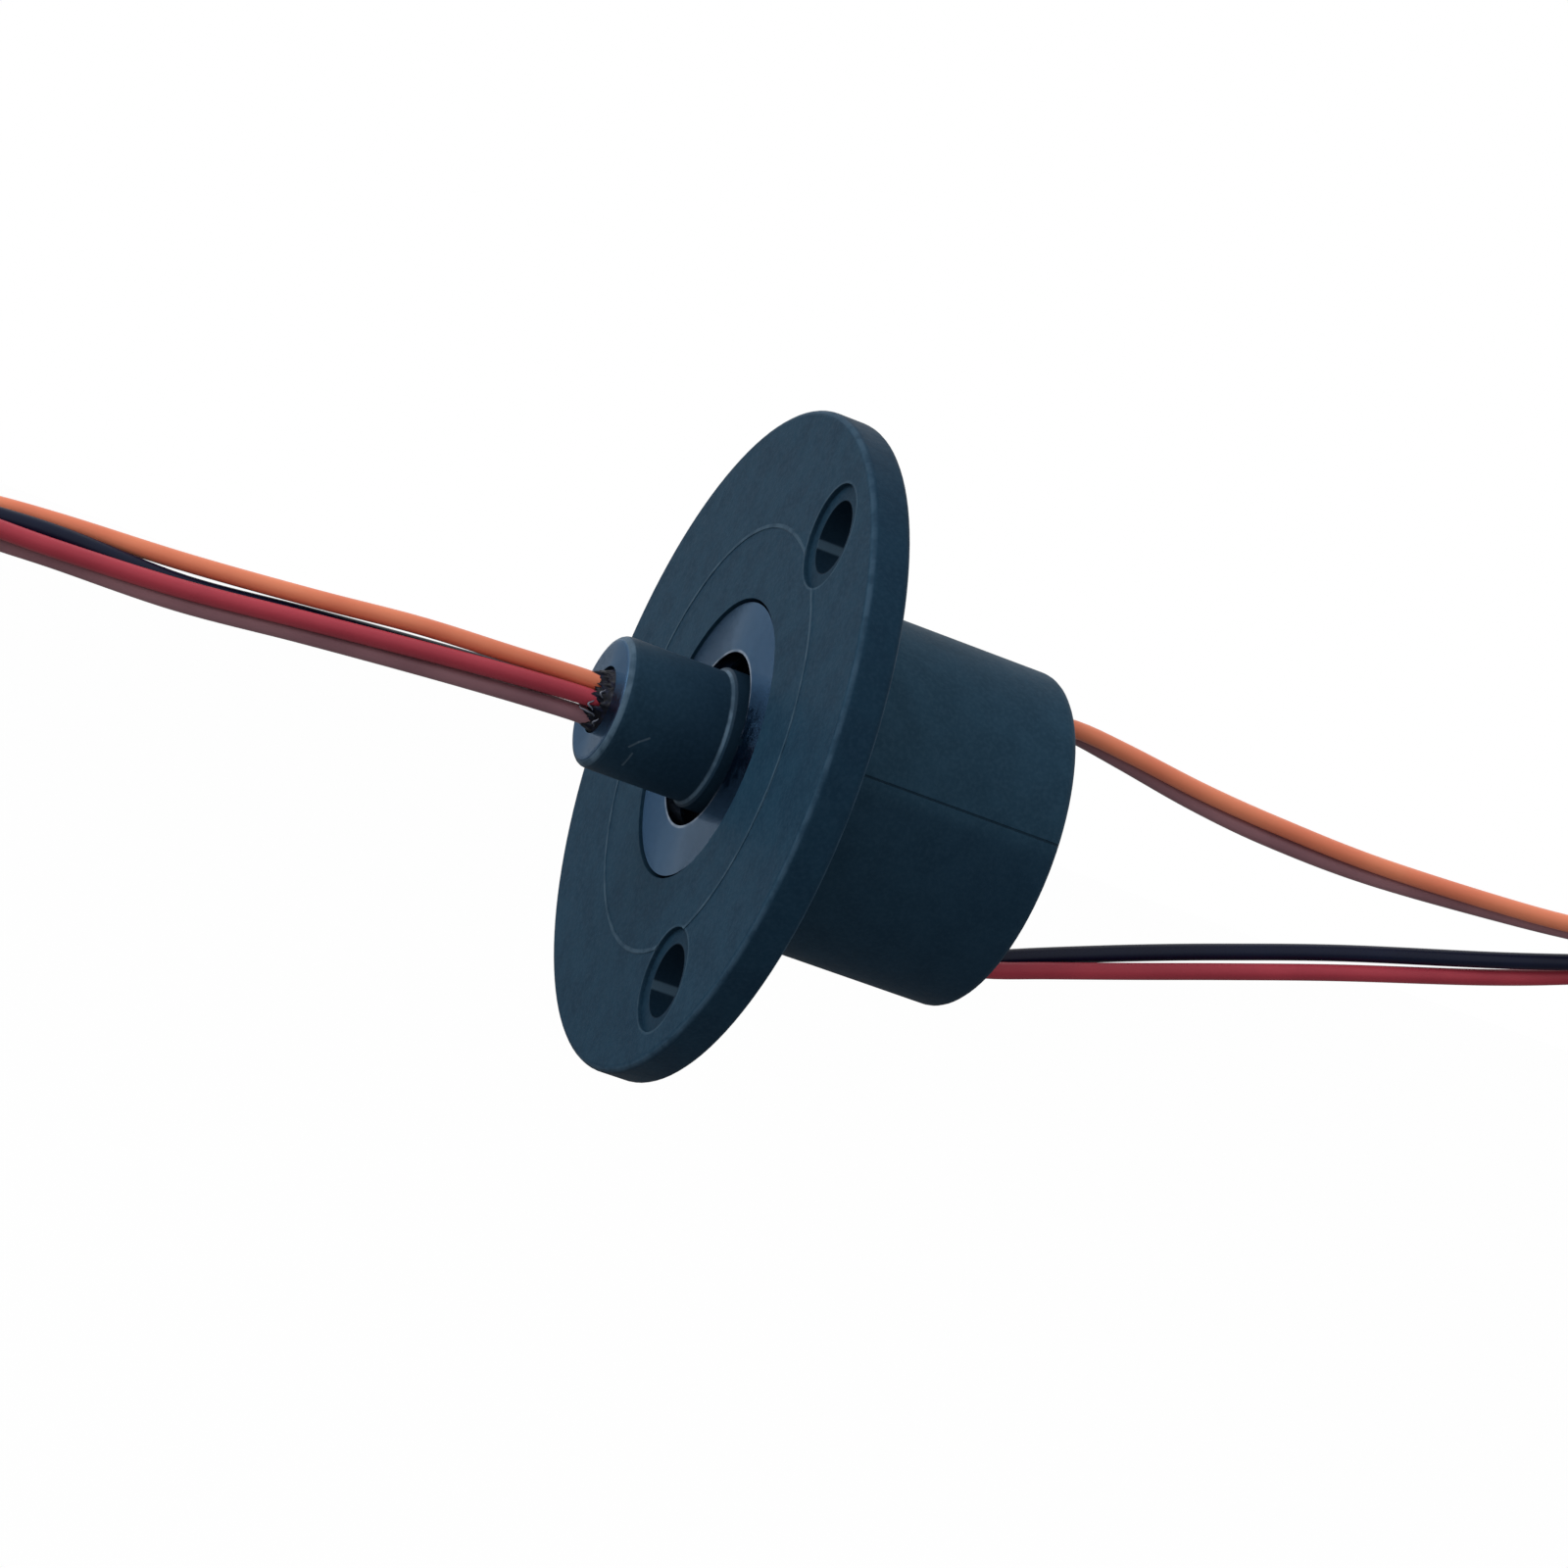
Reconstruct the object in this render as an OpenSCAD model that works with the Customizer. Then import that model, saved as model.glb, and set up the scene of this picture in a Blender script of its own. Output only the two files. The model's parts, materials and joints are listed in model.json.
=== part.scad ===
// Flanged capsule slip ring: four circuits pass from the fixed housing to a
// rotor that turns without limit. The rotor runs along X, with its shaft end
// towards -X, and the origin is the middle of the flange's seating face.

/* [Housing] */
// Diameter of the mounting flange
flange_d = 44.5; // [42:0.5:60]
// Thickness of the mounting flange
flange_t = 2.7; // [2.2:0.1:4]
// Rounding of the flange's edges
flange_round = 0.45; // [0.1:0.05:0.8]
// Number of bolt holes
bolt_count = 3; // [2:1:6]
// Diameter of the circle that the bolt holes lie on
bolt_circle_d = 34; // [31:0.5:36]
// Diameter of a bolt hole
bolt_hole_d = 4.8; // [3:0.1:5.5]
// Diameter of the shallow spot face round a bolt hole
spot_face_d = 6.9; // [6:0.1:7.4]
// Depth of the spot face
spot_face_depth = 0.3; // [0.1:0.05:0.8]
// Outside diameter of the body behind the flange
body_d = 22.9; // [22:0.1:25]
// Rounding of the body's rear edge
body_round = 0.8; // [0.2:0.1:1.2]
// Fillet between the flange and the body
body_fillet = 0.3; // [0.1:0.1:1]
// Diameter of the fine ring that the mould leaves on the flange face
mould_ring_d = 28.6; // [24:0.2:29]

/* [Front cover ring] */
// Outside diameter of the cover ring
cover_d = 18.4; // [18:0.1:18.8]
// Bore of the cover ring
cover_bore_d = 11.7; // [11:0.1:14]
// Thickness of the cover ring
cover_t = 1; // [0.6:0.1:1.5]
// How far the cover ring lies below the flange face
cover_recess = 0.15; // [0.1:0.05:0.6]
// Radial gap between the cover ring and its seat
cover_gap = 0.22; // [0.05:0.01:0.25]
// Thickness of the housing lip between cover ring and bearing
lip_t = 1.2; // [0.8:0.1:1.5]

/* [Rotor shaft] */
// Diameter of the shaft end outside the flange
shaft_d = 8.8; // [8.6:0.1:9.1]
// Length of the shaft end outside the flange
shaft_out = 7.5; // [7.3:0.1:7.7]
// Rounding of the shaft's end
shaft_round = 0.6; // [0.2:0.1:1]
// Bore that the leads leave the shaft by
shaft_bore_d = 4.5; // [4.4:0.1:6]
// Diameter of the collar at the shaft's root
collar_d = 9.4; // [9.2:0.1:9.8]
// How far the collar stands out of the flange face
collar_out = 0.4; // [0.1:0.1:0.8]
// Depth of the potting below the shaft's end
potting_recess = 0.3; // [0.2:0.1:0.8]
// Length of the potting in the shaft
potting_l = 5; // [2:0.5:6]
// Diameter of the core that carries the rings
core_d = 7.4; // [6.8:0.1:8]
// Bore of the core
core_bore_d = 4; // [4:0.1:4.4]
// Diameter of the shoulder behind the front bearing
shoulder_d = 11.4; // [11:0.1:12]
// Thickness of the shoulder
shoulder_t = 0.55; // [0.4:0.05:1]

/* [Bearings] */
// Bore of the front bearing
front_bore_d = 10; // [10:0.1:10.4]
// Outside diameter of the front bearing
front_od = 19; // [18.8:0.1:19.4]
// Width of the front bearing
front_w = 5; // [4:0.1:6]
// Ball diameter of the front bearing
front_ball_d = 2.38; // [2:0.01:2.6]
// Number of balls in the front bearing
front_balls = 11; // [7:1:13]
// Bore of the rear bearing
rear_bore_d = 5; // [4.6:0.1:5.2]
// Outside diameter of the rear bearing
rear_od = 10; // [9.8:0.1:10.6]
// Width of the rear bearing
rear_w = 4; // [3:0.1:5]
// Ball diameter of the rear bearing
rear_ball_d = 1.59; // [1.3:0.01:1.7]
// Number of balls in the rear bearing
rear_balls = 9; // [6:1:10]
// Thickness of a bearing shield
shield_t = 0.25; // [0.15:0.05:0.4]

/* [Rings and brushes] */
// Outside diameter of a slip ring
ring_d = 10.4; // [9.6:0.1:10.6]
// Width of a slip ring
ring_w = 1.25; // [1.1:0.05:1.6]
// Depth of the groove that the brush wires run in
groove_depth = 0.3; // [0.1:0.05:0.4]
// Outside diameter of an insulating washer
washer_d = 11.4; // [11:0.1:11.8]
// Thickness of an insulating washer
washer_t = 0.5; // [0.3:0.05:0.8]
// Diameter of a brush wire
brush_wire_d = 0.4; // [0.3:0.05:0.45]
// Running gap between a brush wire and its ring
brush_gap = 0.05; // [0.03:0.01:0.1]
// How far the brush legs reach past the rotor's axis
brush_reach = 3.2; // [2:0.1:4]
// Height of the brush board's inner face above the axis
board_y = 6.2; // [6.1:0.05:6.3]
// Thickness of a brush board
board_t = 1; // [0.8:0.05:1.1]
// Width of a brush board
board_w = 12.2; // [11.8:0.1:12.3]

/* [Rear cap] */
// Thickness of the cap's web
cap_web_t = 1; // [0.6:0.1:2]
// How far the cap lies inside the body's rear edge
cap_recess = 0.3; // [0.1:0.1:1]
// Wall of the pocket that holds the rear bearing
pocket_wall = 1.15; // [0.8:0.05:1.3]
// Distance of the rear leads from the axis
lead_exit_r = 8.5; // [8.4:0.05:8.6]
// Distance between the two leads of a rear pair
lead_pair = 1.3; // [1.25:0.05:1.5]
// Width of a lead notch in the cap
notch_w = 3.2; // [3:0.1:4]
// Depth of a lead notch, inwards from the leads' middle
notch_in = 0.9; // [0.7:0.05:1]

/* [Leads] */
// Diameter of a lead
lead_d = 1.15; // [1:0.05:1.2]
// Distance between neighbouring turns of a coil
turn_pitch = 1.2; // [1.2:0.05:1.3]
// Radius of a coil's outermost turn
coil_r = 9.6; // [9.4:0.1:10]
// Turns in the coil of the front leads
front_turns = 4.7; // [4:0.1:5]
// Turns in the coil of the rear leads
rear_turns = 4.3; // [4:0.1:5]
// Width of the tie round a coil
tie_w = 2.5; // [1.5:0.1:4]
// Thickness of the tie
tie_t = 0.5; // [0.3:0.1:0.8]

/* [Hidden] */
$fn = 96;
CIRCUITS = ["orange", "red", "brown", "black"];
RING_COUNT = len(CIRCUITS);

// Colours
SLATE = [0.16, 0.21, 0.26];
STEEL = [0.72, 0.74, 0.77];
PALE_METAL = [0.5, 0.55, 0.63];
GOLD = [0.85, 0.68, 0.32];
LEAD_COLOURS = [[0.88, 0.45, 0.24], [0.6, 0.18, 0.22], [0.48, 0.33, 0.31], [0.07, 0.09, 0.14]];

// Clearances: pieces fixed together, pieces that run past each other
seat_gap = 0.02;
run_gap = 0.1;

// Stations along the axis, from the seating face
front_z = -flange_t;
tip_z = front_z - shaft_out;
cover_z = front_z + cover_recess;
lip_z = cover_z + cover_t;
bearing_z = lip_z + lip_t;
shoulder_z = bearing_z + front_w;
stack_z = shoulder_z + shoulder_t;
ring_pitch = ring_w + washer_t;
stack_end_z = stack_z + RING_COUNT * ring_pitch + washer_t;
rear_bearing_z = stack_end_z + 2 * run_gap;
web_z = rear_bearing_z + rear_w;
cap_end_z = web_z + cap_web_t;
body_l = cap_end_z + cap_recess;
function ring_z(i) = stack_z + washer_t + (i - 1) * ring_pitch + ring_w / 2;

// Radii
bore_r = front_od / 2 + seat_gap;
cover_seat_r = cover_d / 2 + cover_gap;
lip_r = bore_r - 2;
potting_z = tip_z + potting_recess;
potting_end_z = potting_z + potting_l;
potting_r = shaft_bore_d / 2 - seat_gap;
groove_r = ring_d / 2 - groove_depth;
brush_x = groove_r + brush_wire_d / 2 * sqrt(2) + brush_gap;
board_top = board_y + board_t;
pocket_r = rear_od / 2 + seat_gap;
lead_r = lead_d / 2;

// Bearings: bore, outside diameter, width, ball diameter, ball count, place
FRONT = [front_bore_d, front_od, front_w, front_ball_d, front_balls, bearing_z];
REAR = [rear_bore_d, rear_od, rear_w, rear_ball_d, rear_balls, rear_bearing_z];
function pitch_r(b) = (b[0] + b[1]) / 4;
function race_shoulder(b) = 0.4 * b[3];

// Where each front lead stands in the shaft, across and up from the axis
SHAFT_LEADS = [[0, 0.95], [-0.75, -0.1], [-0.1, -1.3], [0.9, -0.15]];
// Side of the rear pair that each lead takes, and upper or lower exit
REAR_SIDE = [-1, -1, 1, 1];
REAR_UP = [1, -1, 1, -1];

// Points that the leads pass between the potting or the cap and their coils
FRONT_ROUTES = [
    [[-12, 0, 0.95], [-17, 0, 0.75], [-23, 0, 0.5], [-30, 0, -0.15],
     [-38, 0.25, -0.75], [-46, 0.75, -1.1], [-51, 1.2, -1.5], [-55.5, 1.65, -2.2]],
    [[-12, -0.75, -0.1], [-17, -0.85, -0.4], [-23, -0.95, -0.9], [-30, -1, -1.55],
     [-38, -1.1, -2.3], [-46, -1.3, -2.6], [-51, -1.5, -2.6], [-55.5, -1.75, -2.55]],
    [[-12, -0.1, -1.3], [-17, -0.1, -1.55], [-23, -0.15, -1.95], [-30, -0.2, -2.5],
     [-38, -0.35, -3.2], [-46, -0.2, -3.3], [-51, 0.1, -3.4], [-55.5, 0.5, -2.9]],
    [[-12, 0.9, -0.15], [-17, 0.9, -0.4], [-23, 0.7, -0.8], [-30, 0.35, -1.35],
     [-38, 0.1, -2.05], [-46, -0.35, -1.8], [-51, -0.5, -2], [-55.5, -0.6, -2.3]]
];
REAR_ROUTES = [
    [[21, -0.6, 8.75], [25, -0.5, 8.45], [31, -0.5, 7.8], [37, -0.45, 7.45],
     [45, -0.45, 7.3], [56, -0.75, 7.8], [63, -1.15, 8.5], [70, -1.55, 9.2]],
    [[21, -0.6, -7.95], [25, -0.5, -6.7], [31, -0.4, -4.8], [37, -0.4, -2.85],
     [45, -0.2, -0.35], [56, 0.7, 2.75], [63, 1.35, 5], [70, 1.7, 7.6]],
    [[21, 0.6, 8.4], [25, 0.5, 7.85], [31, 0.35, 6.95], [37, 0.25, 6.45],
     [45, 0.35, 6.4], [56, 0.25, 7.2], [63, -0.1, 8], [70, -0.4, 9]],
    [[21, 0.6, -7.4], [25, 0.5, -5.85], [31, 0.4, -3.65], [37, 0.35, -1.6],
     [45, 0.35, 0.95], [56, 0.4, 4.05], [63, 0.5, 6.15], [70, 0.55, 8.3]]
];
// Place of each lead in its coil, across from the coil's middle
FRONT_PLACES = [1.5, -1.5, 0.5, -0.5];
REAR_PLACES = [-1.5, 1.5, -0.5, 0.5];
// Top of each coil, where its leads run in
FRONT_COIL_TOP = [-59.5, 0, -2.5];
REAR_COIL_TOP = [77, 0, 9.6];
TUBE_SIDES = 8;

function coil_end(top, place) = top + [0, place * turn_pitch, 0];
function front_route(i) = concat(
    [[potting_z, SHAFT_LEADS[i][0], SHAFT_LEADS[i][1]]],
    FRONT_ROUTES[i],
    [coil_end(FRONT_COIL_TOP, FRONT_PLACES[i])]
);
function rear_route(i) = concat(
    [[cap_end_z, REAR_SIDE[i] * lead_pair / 2, REAR_UP[i] * lead_exit_r]],
    REAR_ROUTES[i],
    [coil_end(REAR_COIL_TOP, REAR_PLACES[i])]
);

// Turns a shape made along Z to lie along the rotor's axis, with its X across and its Y up
module on_axis() {
    rotate([90, 0, 90]) children();
}

// Points of an arc, for outlines
function arc(x, y, r, from, to, steps = 5) =
    [for (i = [0:steps]) let (a = from + (to - from) * i / steps) [x + r * cos(a), y + r * sin(a)]];

module washer(outer_r, inner_r, thickness) {
    difference() {
        cylinder(r = outer_r, h = thickness);
        translate([0, 0, -1]) cylinder(r = inner_r, h = thickness + 2);
    }
}

// ---- Housing ----

function housing_outline() = concat(
    [[lip_r, lip_z], [cover_seat_r, lip_z], [cover_seat_r, front_z]],
    arc(flange_d / 2 - flange_round, front_z + flange_round, flange_round, -90, 0),
    arc(flange_d / 2 - flange_round, -flange_round, flange_round, 0, 90),
    arc(body_d / 2 + body_fillet, body_fillet, body_fillet, -90, -180),
    arc(body_d / 2 - body_round, body_l - body_round, body_round, 0, 90),
    [[bore_r, body_l], [bore_r, bearing_z], [lip_r, bearing_z]]
);

module bolt_hole() {
    translate([0, 0, front_z - 1]) cylinder(d = bolt_hole_d, h = flange_t + 2);
    translate([0, 0, front_z - 1]) cylinder(d = spot_face_d, h = 1 + spot_face_depth);
}

// Fine raised line where the mould's inserts meet
module mould_line() {
    line_w = 0.25;
    line_h = 0.05;
    line_r = mould_ring_d / 2;
    translate([0, 0, front_z - line_h]) washer(line_r + line_w / 2, line_r - line_w / 2, 2 * line_h);
}

module at_bolts() {
    for (i = [0:bolt_count - 1]) rotate([0, 0, i * 360 / bolt_count])
        translate([bolt_circle_d / 2, 0, 0]) children();
}

module housing() {
    color(SLATE) on_axis() difference() {
        union() {
            rotate_extrude() polygon(housing_outline());
            mould_line();
        }
        at_bolts() bolt_hole();
    }
}

// Pale turned ring that covers the front bearing, with a small notch in its bore
module cover_ring() {
    notch = 0.5;
    notch_depth = 0.6;
    color(PALE_METAL) on_axis() translate([0, 0, cover_z]) difference() {
        washer(cover_d / 2, cover_bore_d / 2, cover_t);
        rotate([0, 0, 173]) translate([cover_bore_d / 2 - 1, -notch / 2, -1])
            cube([1 + notch_depth, notch, cover_t + 2]);
    }
}

// ---- Rear cap and lead seals ----

module lead_notch(gap) {
    top = bore_r - seat_gap;
    low = lead_exit_r - notch_in;
    translate([-notch_w / 2 + gap, low + gap, web_z - 1])
        cube([notch_w - 2 * gap, top - low + 1, cap_web_t + 2]);
}

module rear_cap() {
    color(SLATE) on_axis() difference() {
        union() {
            translate([0, 0, web_z]) cylinder(r = bore_r - seat_gap, h = cap_web_t);
            translate([0, 0, rear_bearing_z]) cylinder(r = pocket_r + pocket_wall, h = rear_w + cap_web_t / 2);
        }
        translate([0, 0, rear_bearing_z - 1]) cylinder(r = pocket_r, h = rear_w + 1);
        for (turn = [0, 180]) rotate([0, 0, turn]) lead_notch(0);
    }
}

// Dark sealing compound that fills a notch round its two leads
module lead_seal(up) {
    color([0.09, 0.1, 0.12]) on_axis() rotate([0, 0, up > 0 ? 0 : 180]) difference() {
        intersection() {
            translate([0, 0, web_z]) cylinder(r = bore_r - 2 * seat_gap, h = cap_web_t);
            lead_notch(seat_gap);
        }
        for (side = [-1, 1]) translate([side * lead_pair / 2, lead_exit_r, web_z - 1])
            cylinder(r = lead_r + seat_gap, h = cap_web_t + 2);
    }
}

module stator_inner_lead(i) {
    color(LEAD_COLOURS[i]) on_axis()
        translate([REAR_SIDE[i] * lead_pair / 2, REAR_UP[i] * lead_exit_r, ring_z(i + 1)])
            cylinder(r = lead_r, h = cap_end_z - ring_z(i + 1));
}

// ---- Ball bearings ----

module at_bearing(b) {
    on_axis() translate([0, 0, b[5]]) children();
}

module ball_track(b) {
    translate([0, 0, b[2] / 2]) rotate_extrude() translate([pitch_r(b), 0]) circle(d = b[3] + 4 * seat_gap);
}

module outer_race(b) {
    color(STEEL) at_bearing(b) difference() {
        washer(b[1] / 2, pitch_r(b) + race_shoulder(b), b[2]);
        ball_track(b);
    }
}

module inner_race(b) {
    color(STEEL) at_bearing(b) difference() {
        washer(pitch_r(b) - race_shoulder(b), b[0] / 2, b[2]);
        ball_track(b);
    }
}

module balls(b, gap = 0) {
    for (i = [0:b[4] - 1]) rotate([0, 0, i * 360 / b[4]])
        translate([pitch_r(b), 0, b[2] / 2]) sphere(d = b[3] + 2 * gap);
}

module ball_set(b) {
    color(STEEL) at_bearing(b) balls(b);
}

// Crown cage: a ring behind the balls, with fingers that reach between them
module cage(b) {
    fingers = 0.36 * b[3];
    back = 0.62 * b[3];
    half_t = 0.26 * b[3];
    color([0.6, 0.5, 0.3]) at_bearing(b) difference() {
        translate([0, 0, b[2] / 2 - fingers]) washer(pitch_r(b) + half_t, pitch_r(b) - half_t, fingers + back);
        balls(b, gap = 2 * seat_gap);
    }
}

module shields(b) {
    color(PALE_METAL) at_bearing(b) for (z = [0, b[2] - shield_t]) translate([0, 0, z])
        washer(pitch_r(b) + race_shoulder(b) - seat_gap, pitch_r(b) - race_shoulder(b) + run_gap, shield_t);
}

// ---- Rotor ----

function shaft_outline() = concat(
    [[shaft_bore_d / 2, tip_z]],
    arc(shaft_d / 2 - shaft_round, tip_z + shaft_round, shaft_round, -90, 0),
    [[shaft_d / 2, front_z - collar_out], [collar_d / 2, front_z - collar_out + (collar_d - shaft_d) / 2]],
    [[collar_d / 2, bearing_z], [front_bore_d / 2 - seat_gap, bearing_z]],
    [[front_bore_d / 2 - seat_gap, shoulder_z], [shoulder_d / 2, shoulder_z], [shoulder_d / 2, stack_z]],
    [[core_d / 2, stack_z], [core_d / 2, rear_bearing_z], [rear_bore_d / 2 - seat_gap, rear_bearing_z]],
    [[rear_bore_d / 2 - seat_gap, web_z - 2 * run_gap], [0, web_z - 2 * run_gap]],
    [[0, stack_end_z - washer_t], [core_bore_d / 2, stack_end_z - washer_t]],
    [[core_bore_d / 2, potting_end_z], [shaft_bore_d / 2, potting_end_z]]
);

// Runs outwards from a front lead to its ring
module solder_pin(i, r, from, to) {
    lead = SHAFT_LEADS[i];
    rotate([0, 0, atan2(lead[1], lead[0])]) translate([from, 0, ring_z(i + 1)])
        rotate([0, 90, 0]) cylinder(r = r, h = to - from);
}

module rotor_shaft() {
    pin_hole_r = 0.35;
    color(SLATE) on_axis() difference() {
        rotate_extrude() polygon(shaft_outline());
        for (i = [0:RING_COUNT - 1]) solder_pin(i, pin_hole_r, core_bore_d / 2 - 0.5, core_d / 2 + 0.5);
    }
}

module shaft_potting() {
    color([0.06, 0.07, 0.1]) on_axis() difference() {
        translate([0, 0, potting_z]) cylinder(r = potting_r, h = potting_l);
        for (lead = SHAFT_LEADS) translate([lead[0], lead[1], potting_z - 1])
            cylinder(r = lead_r + seat_gap, h = potting_l + 2);
    }
}

module rotor_inner_leads() {
    on_axis() for (i = [0:RING_COUNT - 1]) color(LEAD_COLOURS[i])
        translate([SHAFT_LEADS[i][0], SHAFT_LEADS[i][1], potting_z])
            cylinder(r = lead_r, h = ring_z(i + 1) - potting_z);
}

module slip_ring(i) {
    half = ring_w / 2;
    inner_r = core_d / 2 + seat_gap;
    pin_r = 0.3;
    reach = norm(SHAFT_LEADS[i - 1]) + lead_r + seat_gap;
    color(GOLD) on_axis() {
        translate([0, 0, ring_z(i)]) rotate_extrude() polygon([
            [inner_r, -half], [ring_d / 2, -half], [ring_d / 2, -groove_depth], [groove_r, 0],
            [ring_d / 2, groove_depth], [ring_d / 2, half], [inner_r, half]
        ]);
        solder_pin(i - 1, pin_r, reach, inner_r + 0.5);
    }
}

module ring_washer(i) {
    color([0.2, 0.3, 0.45]) on_axis() translate([0, 0, stack_z + (i - 1) * ring_pitch])
        washer(washer_d / 2, core_d / 2 + seat_gap, washer_t);
}

// ---- Brushes ----

function brush_rings(up) = [for (i = [1:RING_COUNT]) if (REAR_UP[i - 1] == up) i];

module brush_board(up) {
    start_z = shoulder_z + run_gap;
    end_z = rear_bearing_z - run_gap;
    color([0.12, 0.35, 0.22]) on_axis() difference() {
        translate([-board_w / 2, up > 0 ? board_y : -board_top, start_z])
            cube([board_w, board_t, end_z - start_z]);
        for (i = brush_rings(up), side = [-1, 1])
            translate([side * brush_x, up * board_y, ring_z(i)]) rotate([90, 0, 0])
                translate([0, 0, -2 * board_t]) cylinder(r = brush_wire_d / 2 + seat_gap, h = 4 * board_t);
    }
}

// Hairpin of spring wire: two legs straddle the ring, a bridge lies on the board
// and a post joins the bridge to its lead
module brush(i) {
    wire_r = brush_wire_d / 2;
    bridge_y = board_top + wire_r;
    post_r = 0.4;
    color(GOLD) on_axis() rotate([0, 0, REAR_UP[i - 1] > 0 ? 0 : 180]) translate([0, 0, ring_z(i)]) {
        for (side = [-1, 1]) translate([side * brush_x, bridge_y, 0]) {
            rotate([90, 0, 0]) cylinder(r = wire_r, h = bridge_y + brush_reach);
            sphere(r = wire_r);
        }
        translate([-brush_x, bridge_y, 0]) rotate([0, 90, 0]) cylinder(r = wire_r, h = 2 * brush_x);
        translate([REAR_SIDE[i - 1] * REAR_UP[i - 1] * lead_pair / 2, bridge_y, 0]) rotate([-90, 0, 0])
            cylinder(r = post_r, h = lead_exit_r - lead_r - seat_gap - bridge_y);
    }
}

// ---- Leads ----

function unit(v) = v / norm(v);
function heading(route, i) =
    i == 0 || i == len(route) - 1 ? [sign(route[len(route) - 1][0]), 0, 0] : unit(route[i + 1] - route[i - 1]);

// Closed tube along a route, with one flat ring of points at each point of the route
module lead_tube(route) {
    last = len(route) - 1;
    points = [
        for (i = [0:last])
            let (along = heading(route, i), across = unit(cross(along, [0, 0, 1])), up = cross(across, along))
                for (k = [0:TUBE_SIDES - 1])
                    let (a = 360 * k / TUBE_SIDES) route[i] + lead_r * (cos(a) * across + sin(a) * up)
    ];
    sides = [
        for (i = [0:last - 1], k = [0:TUBE_SIDES - 1])
            let (a = i * TUBE_SIDES + k, b = i * TUBE_SIDES + (k + 1) % TUBE_SIDES)
                [a, b, b + TUBE_SIDES, a + TUBE_SIDES]
    ];
    triangles = [for (q = sides) each [[q[0], q[1], q[2]], [q[0], q[2], q[3]]]];
    ends = [
        [for (k = [TUBE_SIDES - 1:-1:0]) k],
        [for (k = [0:TUBE_SIDES - 1]) last * TUBE_SIDES + k]
    ];
    polyhedron(points, concat(triangles, ends));
}

// Outer shape of the four leads wound side by side, hanging from where they run in
module lead_coil(top, turns) {
    width = RING_COUNT * turn_pitch;
    inner_r = coil_r - turns * turn_pitch - lead_r;
    color([0.5, 0.3, 0.25]) translate(top - [0, 0, coil_r]) rotate([90, 0, 0]) translate([0, 0, -width / 2])
        washer(coil_r + lead_r, inner_r, width);
}

// Band round the coil's bundle of turns, at the bottom of the coil
module lead_tie(top, turns) {
    width = RING_COUNT * turn_pitch + 2 * run_gap;
    hole_r = coil_r - turns * turn_pitch - lead_r;
    inner_r = sqrt(hole_r ^ 2 - (tie_w / 2) ^ 2) - run_gap;
    height = coil_r + lead_r + run_gap - inner_r;
    color([0.1, 0.1, 0.11]) translate(top + [-tie_w / 2, 0, -coil_r - inner_r]) difference() {
        translate([0, -width / 2 - tie_t, -height - tie_t]) cube([tie_w, width + 2 * tie_t, height + 2 * tie_t]);
        translate([-1, -width / 2, -height]) cube([tie_w + 2, width, height]);
    }
}

housing();
cover_ring();
rear_cap();
lead_seal(1);  // lead_seal_upper
lead_seal(-1);  // lead_seal_lower
rotor_shaft();
shaft_potting();
rotor_inner_leads();
outer_race(FRONT);  // front_outer_race
inner_race(FRONT);  // front_inner_race
ball_set(FRONT);  // front_balls
cage(FRONT);  // front_cage
shields(FRONT);  // front_shields
outer_race(REAR);  // rear_outer_race
inner_race(REAR);  // rear_inner_race
ball_set(REAR);  // rear_balls
cage(REAR);  // rear_cage
shields(REAR);  // rear_shields
for (i = [1:RING_COUNT]) slip_ring(i);
for (i = [1:RING_COUNT + 1]) ring_washer(i);
brush_board(1);  // brush_board_upper
brush_board(-1);  // brush_board_lower
for (i = [1:RING_COUNT]) brush(i);
for (i = [0:RING_COUNT - 1]) {
    stator_inner_lead(i);
    color(LEAD_COLOURS[i]) lead_tube(front_route(i));
    color(LEAD_COLOURS[i]) lead_tube(rear_route(i));
}
lead_coil(FRONT_COIL_TOP, front_turns);  // front_coil
lead_coil(REAR_COIL_TOP, rear_turns);  // rear_coil
lead_tie(FRONT_COIL_TOP, front_turns);  // front_tie
lead_tie(REAR_COIL_TOP, rear_turns);  // rear_tie
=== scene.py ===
"""Finish of a flanged capsule slip ring: leads, sealing compound, materials, studio and camera.

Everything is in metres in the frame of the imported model: X along the rotor's axis with the
shaft end at -X, Z up, origin in the middle of the flange's seating face.
"""
import json
import math

import bmesh
import bpy
from mathutils import Matrix, Vector, noise

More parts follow.
